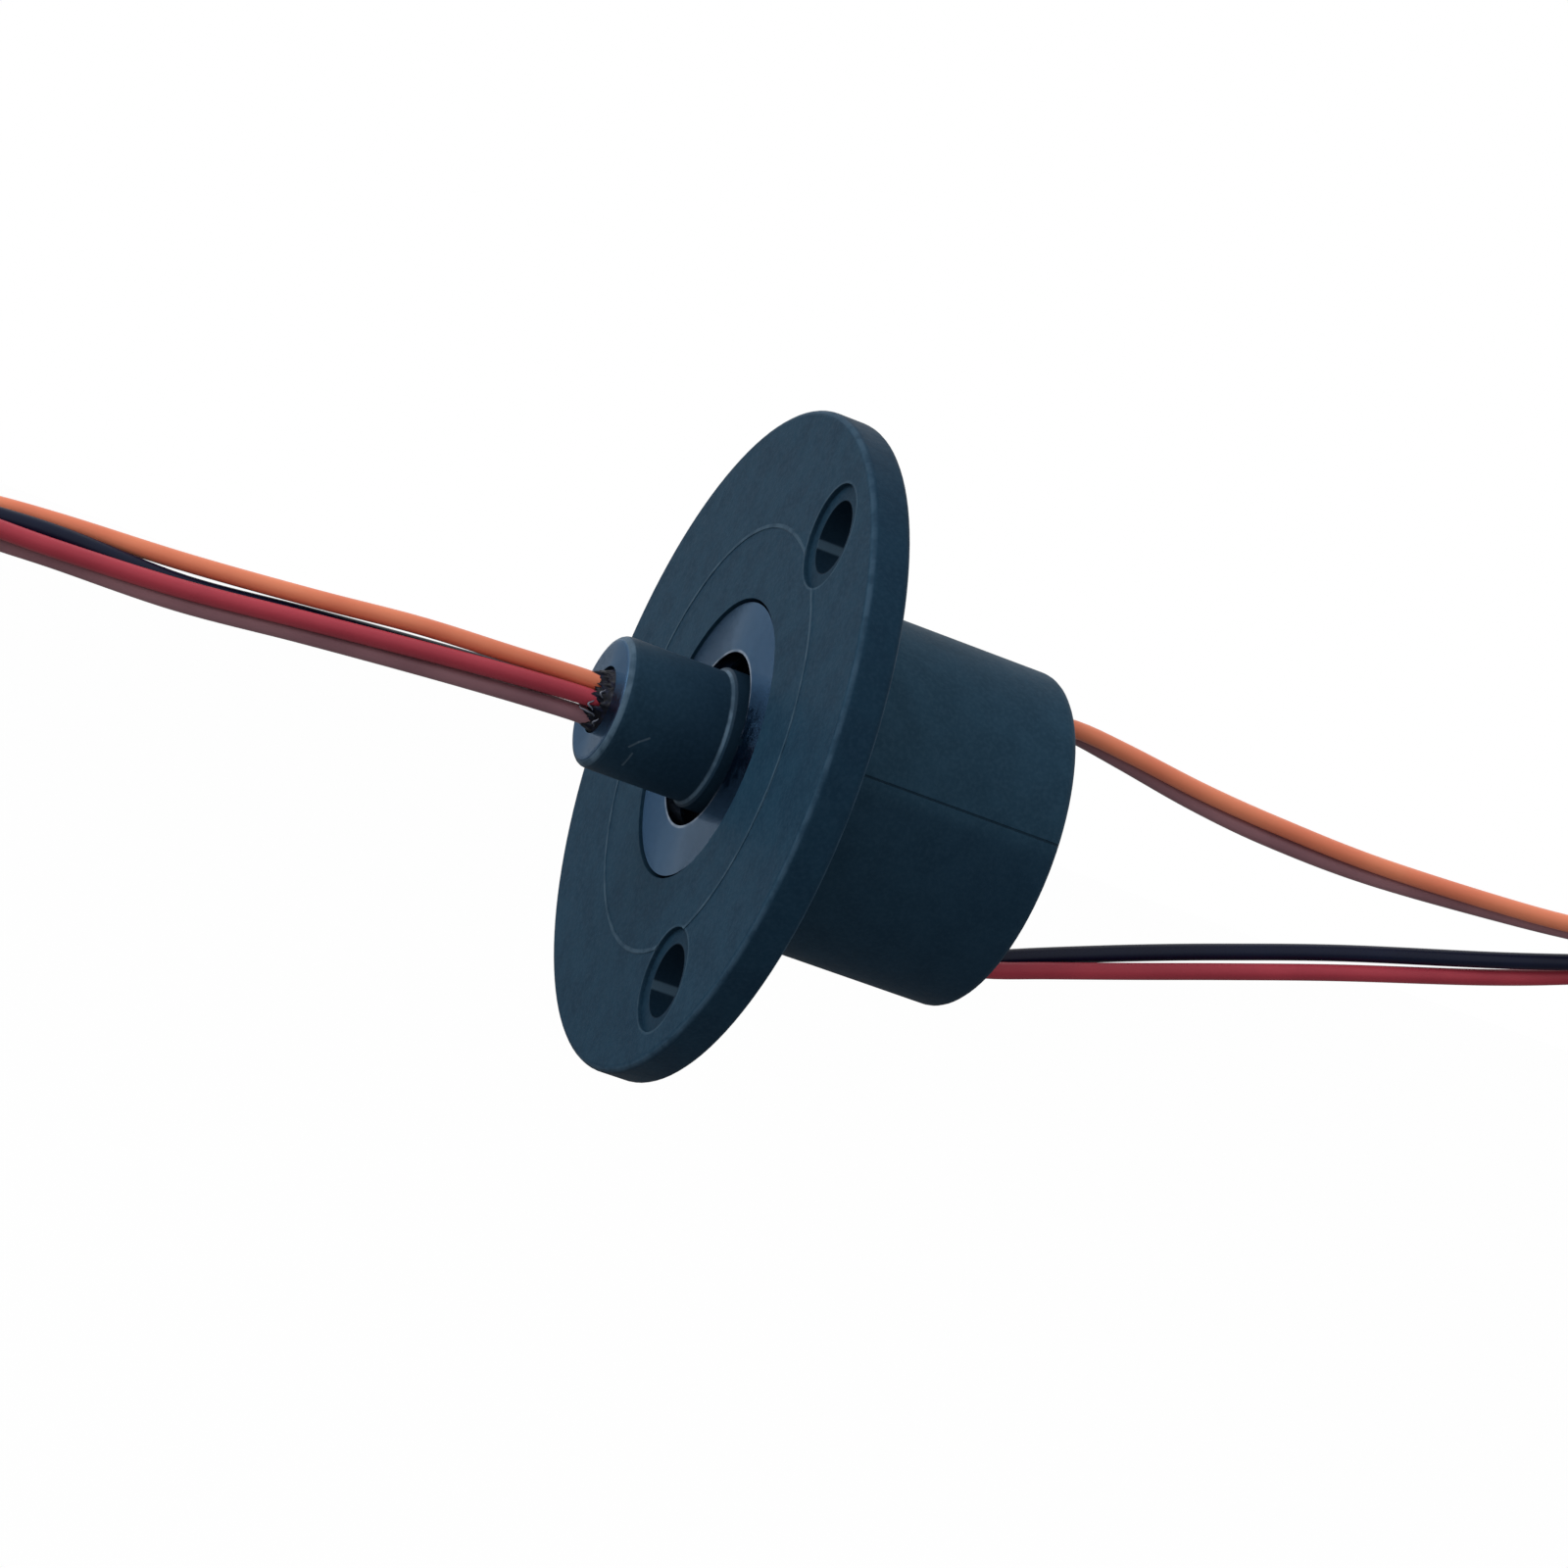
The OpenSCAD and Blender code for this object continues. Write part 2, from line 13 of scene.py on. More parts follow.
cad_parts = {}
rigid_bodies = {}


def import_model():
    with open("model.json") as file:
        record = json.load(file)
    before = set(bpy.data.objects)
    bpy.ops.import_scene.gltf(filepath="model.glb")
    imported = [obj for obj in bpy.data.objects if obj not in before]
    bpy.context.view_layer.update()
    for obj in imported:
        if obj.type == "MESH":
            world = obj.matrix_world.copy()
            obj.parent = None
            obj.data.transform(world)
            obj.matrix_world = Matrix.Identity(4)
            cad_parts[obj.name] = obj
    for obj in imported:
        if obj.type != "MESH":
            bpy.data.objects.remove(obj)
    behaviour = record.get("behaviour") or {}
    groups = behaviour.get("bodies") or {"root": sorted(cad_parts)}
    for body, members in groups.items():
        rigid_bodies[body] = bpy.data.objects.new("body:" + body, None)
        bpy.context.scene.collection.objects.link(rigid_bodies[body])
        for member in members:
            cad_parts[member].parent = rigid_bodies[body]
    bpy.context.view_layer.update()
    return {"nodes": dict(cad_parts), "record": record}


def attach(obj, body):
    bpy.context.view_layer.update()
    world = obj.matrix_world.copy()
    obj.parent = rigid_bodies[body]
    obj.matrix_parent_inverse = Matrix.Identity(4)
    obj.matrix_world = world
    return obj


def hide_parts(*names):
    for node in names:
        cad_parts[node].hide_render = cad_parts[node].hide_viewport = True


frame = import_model()
MM = 0.001

# ---------------------------------------------------------------- camera

CAMERA_PLACE = Vector((-108.485, -304.623, 11.138)) * MM
CAMERA_RIGHT = Vector((0.88296, -0.31014, 0.35240))
CAMERA_UP = Vector((-0.31890, 0.15460, 0.93509))
CAMERA_BACK = Vector((-0.34449, -0.93804, 0.03760))
LENS = 116.38
SENSOR = 36.0


def place_camera():
    data = bpy.data.cameras.new("studio_camera")
    data.lens = LENS
    data.sensor_width = SENSOR
    data.clip_start = 0.01
    data.clip_end = 20.0
    camera = bpy.data.objects.new("studio_camera", data)
    bpy.context.scene.collection.objects.link(camera)
    turn = Matrix((CAMERA_RIGHT, CAMERA_UP, CAMERA_BACK)).transposed().to_4x4()
    camera.matrix_world = Matrix.Translation(CAMERA_PLACE) @ turn
    bpy.context.scene.camera = camera


place_camera()

# ---------------------------------------------------------------- meshes


def add_piece(name, vertices, faces, smooth=True):
    """A new mesh object from points and faces, with its normals turned outwards."""
    mesh = bpy.data.meshes.new(name)
    mesh.from_pydata([tuple(v) for v in vertices], [], faces)
    form = bmesh.new()
    form.from_mesh(mesh)
    bmesh.ops.recalc_face_normals(form, faces=form.faces)
    form.to_mesh(mesh)
    form.free()
    mesh.polygons.foreach_set("use_smooth", [smooth] * len(mesh.polygons))
    piece = bpy.data.objects.new(name, mesh)
    bpy.context.scene.collection.objects.link(piece)
    return piece


def sweep(path, radius, sides, up=Vector((0, 0, 1))):
    """Points and faces of a closed round tube along a path; radius is a number or a list."""
    points, faces = [], []
    last = len(path) - 1
    for i, place in enumerate(path):
        along = (path[min(i + 1, last)] - path[max(i - 1, 0)]).normalized()
        side = along.cross(up)
        if side.length < 0.1:
            side = along.cross(Vector((0, 1, 0)))
        side.normalize()
        up = side.cross(along)
        r = radius[i] if isinstance(radius, list) else radius
        for k in range(sides):
            a = 2 * math.pi * k / sides
            points.append(place + r * (math.cos(a) * side + math.sin(a) * up))
    for i in range(last):
        for k in range(sides):
            a, b = i * sides + k, i * sides + (k + 1) % sides
            faces.append((a, b, b + sides, a + sides))
    faces.append(tuple(range(sides)))
    faces.append(tuple(last * sides + k for k in range(sides)))
    return points, faces


def curve_through(points, heading, step):
    """Evenly spaced points of a smooth curve through given ones, with one heading at both ends."""
    reach = [heading * (points[1] - points[0]).length, heading * (points[-1] - points[-2]).length]
    known = [points[1] - 2 * reach[0]] + points + [points[-2] + 2 * reach[1]]
    dense = []
    for a, b, c, d in zip(known, known[1:], known[2:], known[3:]):
        for t in (k / 40 for k in range(40)):
            dense.append(
                0.5 * (2 * b + (c - a) * t + (2 * a - 5 * b + 4 * c - d) * t * t
                       + (3 * b - a - 3 * c + d) * t ** 3)
            )
    dense.append(points[-1])
    return resample(dense, step)


def length_of(path):
    """Length of a line of points."""
    return sum((b - a).length for a, b in zip(path, path[1:]))


def resample(path, step):
    """The same line as evenly spaced points, about a step apart."""
    count = max(2, round(length_of(path) / step))
    gap = length_of(path) / count
    even, walked, goal = [path[0].copy()], 0.0, gap
    for a, b in zip(path, path[1:]):
        span = (b - a).length
        while walked + span >= goal - 1e-12 and len(even) < count:
            even.append(a.lerp(b, (goal - walked) / span))
            goal += gap
        walked += span
    even.append(path[-1].copy())
    return even


# ---------------------------------------------------------------- leads

LEAD_D = 1.15 * MM
LEAD_LENGTH = 250 * MM
BARE_LENGTH = 5 * MM
TURN_PITCH = 1.2 * MM
COIL_R = 9.6 * MM
LEAD_STEP = 0.9 * MM
LEAD_SIDES = 16
STRAND_R, STRAND_LAY_R, STRAND_TWIST = 0.1 * MM, 0.205 * MM, 2.6
COLOURS = ["orange", "red", "brown", "black"]

# Points that each lead passes from its exit to the top of its coil, in millimetres
FRONT_ROUTES = {
    "orange": [(-9.9, 0, 0.95), (-12, 0, 0.95), (-17, 0, 0.75), (-23, 0, 0.5), (-30, 0, -0.15),
               (-38, 0.25, -0.75), (-46, 0.75, -1.1), (-51, 1.2, -1.5), (-55.5, 1.65, -2.2),
               (-59.5, 1.8, -2.5)],
    "red": [(-9.9, -0.75, -0.1), (-12, -0.75, -0.1), (-17, -0.85, -0.4), (-23, -0.95, -0.9),
            (-30, -1, -1.55), (-38, -1.1, -2.3), (-46, -1.3, -2.6), (-51, -1.5, -2.6),
            (-55.5, -1.75, -2.55), (-59.5, -1.8, -2.5)],
    "brown": [(-9.9, -0.1, -1.3), (-12, -0.1, -1.3), (-17, -0.1, -1.55), (-23, -0.15, -1.95),
              (-30, -0.2, -2.5), (-38, -0.35, -3.2), (-46, -0.2, -3.3), (-51, 0.1, -3.4),
              (-55.5, 0.5, -2.9), (-59.5, 0.6, -2.5)],
    "black": [(-9.9, 0.9, -0.15), (-12, 0.9, -0.15), (-17, 0.9, -0.4), (-23, 0.7, -0.8),
              (-30, 0.35, -1.35), (-38, 0.1, -2.05), (-46, -0.35, -1.8), (-51, -0.5, -2),
              (-55.5, -0.6, -2.3), (-59.5, -0.6, -2.5)],
}
REAR_ROUTES = {
    "orange": [(17.9, -0.65, 8.5), (21, -0.6, 8.75), (25, -0.5, 8.45), (31, -0.5, 7.8),
               (37, -0.45, 7.45), (45, -0.45, 7.3), (56, -0.75, 7.8), (63, -1.15, 8.5),
               (70, -1.55, 9.2), (77, -1.8, 9.6)],
    "red": [(17.9, -0.65, -8.5), (21, -0.6, -7.95), (25, -0.5, -6.7), (31, -0.4, -4.8),
            (37, -0.4, -2.85), (45, -0.2, -0.35), (56, 0.7, 2.75), (63, 1.35, 5),
            (70, 1.7, 7.6), (77, 1.8, 9.6)],
    "brown": [(17.9, 0.65, 8.5), (21, 0.6, 8.4), (25, 0.5, 7.85), (31, 0.35, 6.95),
              (37, 0.25, 6.45), (45, 0.35, 6.4), (56, 0.25, 7.2), (63, -0.1, 8),
              (70, -0.4, 9), (77, -0.6, 9.6)],
    "black": [(17.9, 0.65, -8.5), (21, 0.6, -7.4), (25, 0.5, -5.85), (31, 0.4, -3.65),
              (37, 0.35, -1.6), (45, 0.35, 0.95), (56, 0.4, 4.05), (63, 0.5, 6.15),
              (70, 0.55, 8.3), (77, 0.6, 9.6)],
}


def spiral(top, heading, length):
    """Points of a flat spiral that goes on from the top of a coil, inwards turn by turn."""
    middle = top - Vector((0, 0, COIL_R))
    path, angle, walked = [], 0.0, 0.0
    while walked < length:
        r = COIL_R - TURN_PITCH * angle / (2 * math.pi)
        path.append(middle + r * Vector((heading * math.sin(angle), 0, math.cos(angle))))
        angle += LEAD_STEP / r
        walked += LEAD_STEP
    return path


def lead_path(route, heading):
    """Whole line of a lead: its route, then its turns in the coil, then its bare end."""
    points = [Vector(p) * MM for p in route]
    way = curve_through(points, Vector((heading, 0, 0)), LEAD_STEP)
    return way + spiral(points[-1], heading, LEAD_LENGTH - length_of(way))[1:]


def bare_strands(name, path):
    """Tinned strands, six twisted round one, that show where the insulation is stripped."""
    vertices, faces = [], []
    for s in range(7):
        line = []
        for i, place in enumerate(path):
            along = (path[min(i + 1, len(path) - 1)] - path[max(i - 1, 0)]).normalized()
            side = Vector((0, 1, 0))
            up = side.cross(along)
            a = 2 * math.pi * (s / 6 + STRAND_TWIST * i / len(path))
            r = STRAND_LAY_R if s < 6 else 0.0
            line.append(place + r * (math.cos(a) * side + math.sin(a) * up))
        v, f = sweep(line, STRAND_R, 6)
        faces += [tuple(i + len(vertices) for i in face) for face in f]
        vertices += v
    return add_piece(name, vertices, faces)


TIE_WIDTH, TIE_THICK, TIE_CORNER, TIE_SLACK = 2.5 * MM, 0.45 * MM, 0.8 * MM, 0.1 * MM
TIE_LOW, TIE_HIGH = -COIL_R - LEAD_D / 2 - TIE_SLACK, -3.2 * MM
# The strap's section, across in shares of its width and out in shares of its thickness
STRAP_SECTION = [(-0.5, 0.0), (-0.42, 1.0), (0.42, 1.0), (0.5, 0.0)]
# Outlines of the tie's head and cut tail, as X and Z in millimetres
TIE_HEAD = [(2.1, 1.5), (1.6, 2.0), (-1.6, 2.0), (-2.1, 1.5),
            (-2.1, -1.5), (-1.6, -2.0), (1.6, -2.0), (2.1, -1.5)]
TIE_TAIL = [(-1.15, -0.45), (1.15, -0.45), (1.15, 0.45), (-1.15, 0.45)]
TAIL_LIFT = 2.4 * MM
# Each form's cuts from the strap outwards, as millimetres out and share of the outline
HEAD_CUTS = [(0.4, 1.0), (-2.3, 1.0), (-2.6, 0.88)]
TAIL_CUTS = [(-0.9, 1.0), (-1.7, 1.0)]


def rounded_loop(half_y, low, high):
    """Corner centres and directions round a rectangle with round corners."""
    level = (low + high) / 2
    corners = [(half_y, high, 0), (-half_y, high, 90), (-half_y, low, 180), (half_y, low, 270)]
    loop = []
    for y, z, start in corners:
        inner_y = y - math.copysign(TIE_CORNER, y)
        inner_z = z - math.copysign(TIE_CORNER, z - level)
        loop += [(inner_y, inner_z, math.radians(start + 15 * k)) for k in range(7)]
    return loop


def add_block(vertices, faces, foot, outline, cuts):
    """Adds a closed block that stands on foot along Y to a list of points and of faces."""
    first, m = len(vertices), len(outline)
    for out, share in cuts:
        for x, z in outline:
            vertices.append(foot + Vector((x * share, out, z * share)) * MM)
    for cut in range(len(cuts) - 1):
        for k in range(m):
            a, b = first + cut * m + k, first + cut * m + (k + 1) % m
            faces.append((a, b, b + m, a + m))
    faces.append(tuple(range(first, first + m)))
    faces.append(tuple(range(len(vertices) - m, len(vertices))))


def coil_tie(name, middle):
    """Nylon tie round the coil's bundle: a strap, its head and its cut tail."""
    half_y = 2 * TURN_PITCH + TIE_SLACK
    loop = rounded_loop(half_y, TIE_LOW, TIE_HIGH)
    vertices, faces = [], []
    for y, z, a in loop:
        for across, out in STRAP_SECTION:
            r = TIE_CORNER + out * TIE_THICK
            spot = Vector((across * TIE_WIDTH, y + r * math.cos(a), z + r * math.sin(a)))
            vertices.append(middle + spot)
    n, m = len(loop), len(STRAP_SECTION)
    for i in range(n):
        for k in range(m):
            a, b = i * m + k, i * m + (k + 1) % m
            faces.append((a, b, (b + m) % (n * m), (a + m) % (n * m)))
    head_foot = middle + Vector((0, -half_y - TIE_THICK, (TIE_LOW + TIE_HIGH) / 2))
    add_block(vertices, faces, head_foot, TIE_HEAD, HEAD_CUTS)
    add_block(vertices, faces, head_foot + Vector((0, 0, TAIL_LIFT)), TIE_TAIL, TAIL_CUTS)
    return add_piece(name, vertices, faces, smooth=False)


# Reach of the lumps round a lead, and the lead's radius, in millimetres
LUMP_REACH, LEAD_RADIUS = 0.42, 0.575


def lump_height(spot, y, z, leads, climb):
    """Height of the compound at a place, in millimetres: uneven, and ragged round the leads."""
    rise = 0.12 * noise.noise(spot * 1.3) + 0.1 * noise.noise(spot * 4.1)
    for lead_y, lead_z in leads:
        gap = max(0.0, math.hypot(y / MM - lead_y, z / MM - lead_z) - LEAD_RADIUS)
        coarse = 0.7 * noise.noise(spot * 2.3 + Vector((9, 0, 0)))
        ragged = 0.75 + coarse + 0.5 * noise.noise(spot * 7)
        rise = max(rise, climb * ragged * math.exp(-((gap / LUMP_REACH) ** 2)))
    return rise


def lumpy_pad(name, middle, half_y, half_z, heading, depth, leads, climb, seed):
    """Closed pad of sealing compound that fills a recess and climbs the leads in ragged lumps."""
    rings, around = 26, 84
    vertices, faces = [], []
    for k in range(rings + 1):
        share = (k / rings) ** 0.8
        for j in range(around):
            a = math.tau * j / around
            y, z = half_y * share * math.cos(a), half_z * share * math.sin(a)
            spot = Vector((seed, y / MM, z / MM))
            rise = lump_height(spot, y, z, leads, climb)
            rise *= min(1.0, 4 * (1 - share) + 0.15)
            vertices.append(middle + Vector((heading * rise * MM, y, z)))
    for k in range(rings):
        for j in range(around):
            a, b = k * around + j, k * around + (j + 1) % around
            faces.append((a, b, b + around, a + around))
    edge = rings * around
    foot = len(vertices)
    vertices += [vertices[edge + j] - Vector((heading * depth, 0, 0)) for j in range(around)]
    for j in range(around):
        a, b = j, (j + 1) % around
        faces.append((edge + a, edge + b, foot + b, foot + a))
    faces.append(tuple(foot + j for j in range(around)))
    faces.append(tuple(range(around)))
    return add_piece(name, vertices, faces)


WISP_R = 0.07 * MM


def wisps(name, strings):
    """Thin pale strings on the compound, a painted highlight where its surface shines."""
    vertices, faces = [], []
    for string in strings:
        line = curve_through([Vector(p) * MM for p in string], Vector((0, 0, 1)), 0.08 * MM)
        last = len(line) - 1
        thin = [WISP_R * math.sin(math.pi * (0.12 + 0.76 * i / last)) for i in range(last + 1)]
        v, f = sweep(line, thin, 6)
        faces += [tuple(i + len(vertices) for i in face) for face in f]
        vertices += v
    return add_piece(name, vertices, faces)


# Where the leads leave the compound, as Y and Z in millimetres from its middle
SHAFT_LEADS = [(0, 0.95), (-0.75, -0.1), (-0.1, -1.3), (0.9, -0.15)]
PAIR = 0.65
pads = {
    "shaft_compound": ("shaft_potting", "rotor", lumpy_pad(
        "shaft_compound", Vector((-9.95, 0, 0)) * MM, half_y=2.24 * MM, half_z=2.24 * MM,
        heading=-1, depth=4.7 * MM, leads=SHAFT_LEADS, climb=1.2, seed=3)),
}
for end, up in (("upper", 1), ("lower", -1)):
    pads["seal_bead_" + end] = ("lead_seal_" + end, "stator", lumpy_pad(
        "seal_bead_" + end, Vector((17.92, 0, up * 8.55)) * MM, half_y=1.57 * MM, half_z=0.92 * MM,
        heading=1, depth=0.98 * MM, leads=[(-PAIR, -0.05 * up), (PAIR, -0.05 * up)],
        climb=0.6, seed=5 + up))
for pad, (node, body, piece) in pads.items():
    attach(piece, body)
    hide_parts(node)
# Pale strings that stand in for the compound's glossy highlights: painted highlight.
highlight_wisps = wisps("compound_wisps", [
    [(-10.5, -1.45, 0.1), (-10.8, -1.5, 0.45), (-10.5, -1.3, 0.75)],
    [(-10.9, -1.5, -0.75), (-11.3, -1.45, -0.45), (-11.0, -1.4, -0.1)],
    [(-10.6, -1.3, -1.1), (-11.2, -1.35, -0.9), (-11.7, -1.2, -0.75)],
    [(-10.3, -1.1, -1.7), (-10.6, -1.5, -1.45), (-10.4, -1.7, -1.1)],
])
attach(highlight_wisps, "rotor")

tied = {}
for end, routes, heading, body in (
    ("front", FRONT_ROUTES, -1, "rotor"),
    ("rear", REAR_ROUTES, 1, "stator"),
):
    coil_middle = Vector(routes["orange"][-1]) * MM
    coil_middle.y = 0
    coil_middle.z -= COIL_R
    tie = coil_tie(end + "_coil_tie", coil_middle)
    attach(tie, body)
    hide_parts(end + "_tie")
    tied[end] = tie
    for colour in COLOURS:
        path = lead_path(routes[colour], heading)
        bare = round(BARE_LENGTH / LEAD_STEP)
        name = f"{end}_lead_{colour}"
        strands = bare_strands(name + "_strands", path[-bare - 2:])
        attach(strands, body)
        insulated = path[:-bare]
        lead = add_piece(name + "_insulation", *sweep(insulated, LEAD_D / 2, LEAD_SIDES))
        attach(lead, body)
        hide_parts(name, end + "_coil")


# ---------------------------------------------------------------- materials

# Places that the finishes follow
FACE_X, FLANGE_R = -2.7 * MM, 22.25 * MM
MOULD_RING_R, SPOT_FACE_R, HOLE_R = 14.3 * MM, 3.45 * MM, 2.42 * MM
# Direction across each hole of its painted glint
GLINT_Y, GLINT_Z = math.cos(math.radians(-17)), math.sin(math.radians(-17))
BOLT_CIRCLE_R = 17 * MM
BOLTS = [(BOLT_CIRCLE_R * math.cos(math.tau * k / 3), BOLT_CIRCLE_R * math.sin(math.tau * k / 3))
         for k in range(3)]
PARTING_ANGLE = math.radians(8)
PARTING_Y, PARTING_Z = math.sin(PARTING_ANGLE), math.cos(PARTING_ANGLE)
TUBE_SHADE_START, TUBE_SHADE_END = 2 * MM, 16 * MM
TIP_X, SHAFT_R, COLLAR_X = -10.2 * MM, 4.4 * MM, -3.05 * MM
SHAFT_SHADE_START, SHAFT_SHADE_END = -9 * MM, -3.4 * MM
COVER_BORE_R = 5.85 * MM
# Rings that the lathe left on the cover and on the shaft's end
TURNED_PITCH, TURNED_SLOPE = 0.06 * MM, 0.42
SCRATCHES = [(Vector(a) * MM, Vector(b) * MM) for a, b in (
    ((-7.64, -4.26, -1.08), (-8.17, -4.13, -1.53)),
    ((-8.17, -4.13, -1.53), (-8.58, -3.91, -2.02)),
    ((-8.17, -3.71, -2.37), (-8.24, -2.92, -3.29)),
)]


def linear(red, green, blue):
    """A colour written as 0 to 255 on a screen, as the shader's light values."""
    def channel(c):
        c /= 255
        return c / 12.92 if c <= 0.04045 else ((c + 0.055) / 1.055) ** 2.4
    return (channel(red), channel(green), channel(blue), 1.0)


TURNED_TINTS = (linear(56, 86, 118), linear(66, 98, 132))
TURNED_SHEEN = linear(206, 214, 220)


class Signal:
    """A socket's value that takes part in sums, so that shader maths reads as an expression."""

    def __init__(self, finish, socket):
        self.finish, self.socket = finish, socket

    def _sum(self, operation, first, second=0.0):
        return self.finish.node("ShaderNodeMath", {"operation": operation}, {0: first, 1: second})

    def __add__(self, other):
        return self._sum("ADD", self, other)

    def __sub__(self, other):
        return self._sum("SUBTRACT", self, other)

    def __rsub__(self, other):
        return self._sum("SUBTRACT", other, self)

    def __mul__(self, other):
        return self._sum("MULTIPLY", self, other)

    def __truediv__(self, other):
        return self._sum("DIVIDE", self, other)

    def __pow__(self, other):
        return self._sum("POWER", self, other)

    def __abs__(self):
        return self._sum("ABSOLUTE", self)

    __radd__ = __add__
    __rmul__ = __mul__


class Finish:
    """A material, and the one method that adds its nodes."""

    def __init__(self, name, **surface):
        self.material = bpy.data.materials.new(name)
        self.material.use_nodes = True
        self.tree = self.material.node_tree
        self.surface = self.tree.nodes["Principled BSDF"]
        for socket, value in surface.items():
            self.surface.inputs[socket.replace("_", " ")].default_value = value
        self.place = self.node("ShaderNodeTexCoord", out="Object")

    def node(self, kind, settings=None, inputs=None, out=0):
        """Adds a node, sets it and its sockets, and gives back one of its outputs."""
        node = self.tree.nodes.new(kind)
        for key, value in (settings or {}).items():
            if key == "stops":
                ramp = node.color_ramp.elements
                while len(ramp) < len(value):
                    ramp.new(0.5)
                for stop, (position, colour) in zip(ramp, value):
                    stop.position, stop.color = position, colour
            else:
                setattr(node, key, value)
        for key, value in (inputs or {}).items():
            if isinstance(value, Signal):
                self.tree.links.new(value.socket, node.inputs[key])
            else:
                node.inputs[key].default_value = value
        return Signal(self, node.outputs[out])

    def value(self, number):
        """A plain number as a signal, to start a sum with."""
        return self.node("ShaderNodeMath", {"operation": "ADD"}, {0: float(number), 1: 0.0})

    def set(self, socket, signal):
        """Feeds one of the surface's own sockets."""
        self.tree.links.new(signal.socket, self.surface.inputs[socket])

    def noise(self, size, detail=2.0):
        """Noise from 0 to 1 whose lumps are about size across, in metres."""
        return self.node("ShaderNodeTexNoise", None, {
            "Vector": self.place, "Scale": 1 / size, "Detail": detail, "Roughness": 0.5,
        }, out="Fac")

    def mix(self, factor, first, second):
        """Colours mixed: first at 0, second at 1."""
        return self.node("ShaderNodeMix", {"data_type": "RGBA"}, {
            0: factor, 6: first, 7: second,
        }, out=2)

    def step(self, value, start, end):
        """0 where value is at start, 1 where it is at end, with a soft way between."""
        return self.node("ShaderNodeMapRange", {"interpolation_type": "SMOOTHSTEP"}, {
            "Value": value, "From Min": start, "From Max": end,
        })

    def bump(self, height, depth, strength=1.0, under=None):
        """Normal of a relief that is depth deep, on top of another normal where one is given."""
        inputs = {"Height": height, "Distance": depth, "Strength": strength}
        if under:
            inputs["Normal"] = under
        return self.node("ShaderNodeBump", None, inputs)

    def mix_vector(self, factor, first, second):
        """Normals mixed: first at 0, second at 1."""
        return self.node("ShaderNodeMix", {"data_type": "VECTOR"}, {
            0: factor, 4: first, 5: second,
        }, out=1)

    def vector_maths(self, operation, first, second, out=0):
        return self.node("ShaderNodeVectorMath", {"operation": operation}, {
            0: first, 1: second,
        }, out=out)

    def near_line(self, start, stop, half_width):
        """1 on the straight line from start to stop, 0 beyond half_width from it."""
        span = stop - start
        along = self.vector_maths("SUBTRACT", self.place, start)
        share = self.vector_maths("DOT_PRODUCT", along, span, out=1)
        share = self.node("ShaderNodeClamp", None, {0: share * (1 / span.length_squared)})
        foot = self.node("ShaderNodeVectorMath", {"operation": "SCALE"}, {0: span, 3: share})
        gap = self.vector_maths("DISTANCE", along, foot, out=1)
        return 1.0 - self.step(gap, half_width * 0.4, half_width)

    def axis(self, name):
        """One coordinate of the place, in metres."""
        return self.node("ShaderNodeSeparateXYZ", None, {0: self.place}, out=name)

    def radius(self):
        """Distance from the rotor's axis."""
        y, z = self.axis("Y"), self.axis("Z")
        return (y * y + z * z) ** 0.5


def patchy_highlight(f, where):
    """A painted highlight's strength along an edge or line: full in places, almost gone in others."""
    return where * (0.35 + 0.65 * f.step(f.noise(1.4 * MM, 3.0), 0.35, 0.6))


def line_at(f, value, place, half_width):
    """1 where value is at place, 0 beyond half_width from it."""
    return 1.0 - f.step(abs(value - place), half_width * 0.5, half_width)


def moulded(f, base, shade, pale):
    """Moulded nylon's faint mottling."""
    cloud = f.step(f.noise(2.2 * MM, 5.0), 0.32, 0.68)
    fine = f.step(f.noise(0.28 * MM, 3.0), 0.35, 0.75)
    body = f.mix(cloud * 0.55, linear(*base), linear(*shade))
    return f.mix(fine * 0.3, body, linear(*pale))


def moulded_grain(f):
    """Sets the moulding's uneven gloss and gives back the height of its grain."""
    f.set("Roughness", 0.4 + 0.16 * f.noise(0.7 * MM, 3.0))
    return f.noise(0.14 * MM, 3.0)


